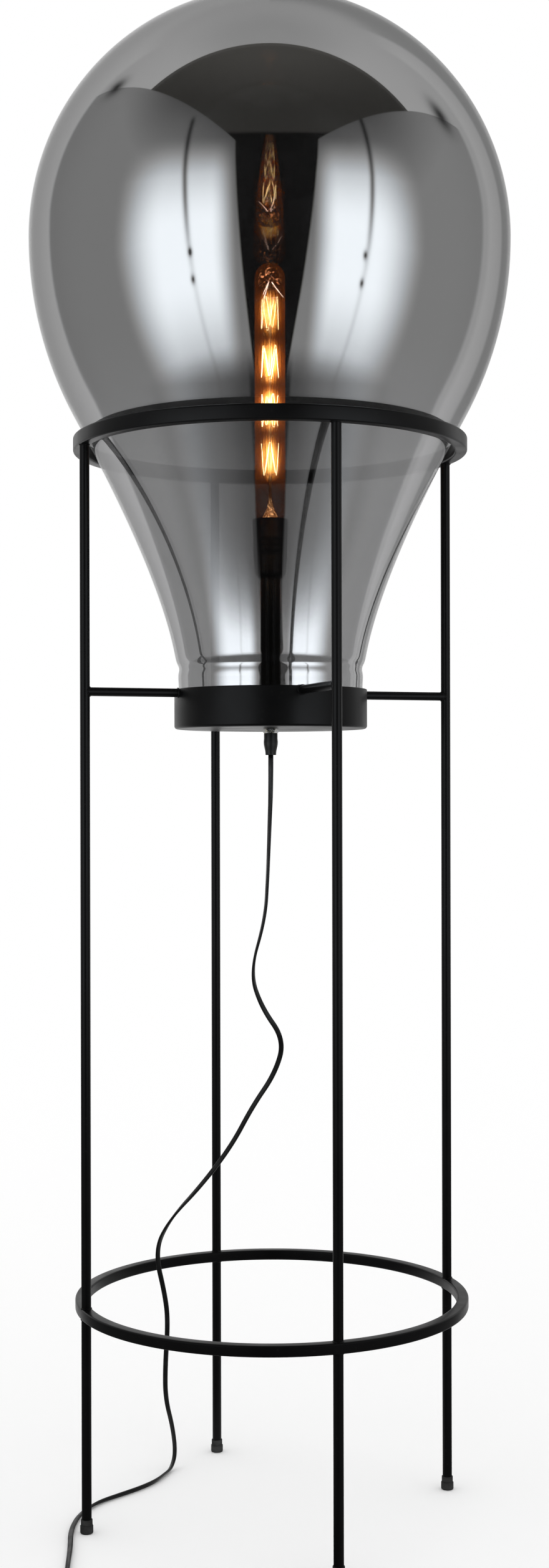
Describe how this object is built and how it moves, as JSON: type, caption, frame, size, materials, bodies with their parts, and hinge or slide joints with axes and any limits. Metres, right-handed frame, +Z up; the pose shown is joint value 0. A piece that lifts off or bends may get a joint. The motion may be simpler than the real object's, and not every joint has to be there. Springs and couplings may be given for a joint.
{
  "type": "glass shade floor lamp",
  "caption": "Floor lamp with a smoky glass globe on a funnel neck, held by a ring and a shallow pan on slim black rods, with a long tubular bulb and a foot switch.",
  "frame": {"origin": "floor level under the middle of the four legs, on the lamp's own axis", "axes": "+Z up along the lamp's axis, -Y towards the viewer of the front"},
  "size_m": [0.5, 0.5176, 1.572],
  "materials": {
    "frame_black": "satin black powder coat",
    "foot_plastic": "dark grey moulded plastic",
    "smoked_glass": "grey smoked blown glass with a mirror-like face",
    "seat_rubber": "matt black silicone",
    "zinc_steel": "bright zinc plated steel",
    "stem_black": "satin black paint",
    "nylon_black": "black nylon",
    "cord_black": "black plastic-sheathed flat flex",
    "holder_black": "satin black paint",
    "ceramic": "glazed white ceramic",
    "contact_brass": "plain brass",
    "bulb_cap_metal": "brass bulb cap, soldered at its foot",
    "insulator_black": "black glass insulator",
    "bulb_glass": "thin amber glass",
    "stem_glass": "clear glass stem and rod",
    "filament": "dark carbon thread",
    "support_wire": "dull molybdenum wire",
    "switch_black": "fine grained black plastic",
    "button_grey": "smooth black plastic",
    "plug_black": "moulded black plastic",
    "pin_nickel": "nickel plated brass"
  },
  "bodies": {
    "root": {"centre_contact": "contact_brass", "cord_coil": "cord_black", "cord_drop": "cord_black", "cord_grip": "nylon_black", "cord_lead": "cord_black", "cord_tail": "cord_black", "foot_back": "foot_plastic", "foot_front": "foot_plastic", "foot_left": "foot_plastic", "foot_right": "foot_plastic", "gland_locknut": "zinc_steel", "grip_screw": "zinc_steel", "inner_flex": "cord_black", "inner_locknut": "zinc_steel", "lampholder_cap": "holder_black", "lampholder_sleeve": "holder_black", "leg_back": "frame_black", "leg_front": "frame_black", "leg_left": "frame_black", "leg_right": "frame_black", "lower_ring": "frame_black", "plug_body": "plug_black", "plug_pins": "pin_nickel", "screw_shell": "contact_brass", "seat_ring": "seat_rubber", "shade_pan": "frame_black", "spoke_back": "frame_black", "spoke_front": "frame_black", "spoke_left": "frame_black", "spoke_right": "frame_black", "stem_tube": "stem_black", "switch_base": "switch_black", "switch_cover": "switch_black", "terminal_block": "ceramic", "terminal_screws": "zinc_steel", "threaded_tube": "zinc_steel", "upper_ring": "frame_black"},
    "shade": {"glass_shade": "smoked_glass"},
    "bulb": {"bulb_cap": "bulb_cap_metal", "bulb_insulator": "insulator_black", "bulb_contact": "bulb_cap_metal", "bulb_glass": "bulb_glass", "bulb_stem": "stem_glass", "bulb_filaments": "filament", "bulb_supports": "support_wire"},
    "switch_button": {"switch_button": "button_grey"}
  },
  "joints": [
    {"name": "shade_lift", "type": "slide", "parent": "root", "child": "shade", "axis": [0, 0, 1], "range_m": [0, 0.49]},
    {"name": "bulb_turn", "type": "hinge", "parent": "root", "child": "bulb", "pos_m": [0, 0, 1.1], "axis": [0, 0, 1], "range_deg": [0, 900]},
    {"name": "switch_press", "type": "slide", "parent": "root", "child": "switch_button", "axis": [0, 0, -1], "range_m": [0, 0.003], "stiffness_N_per_m": 800}
  ]
}
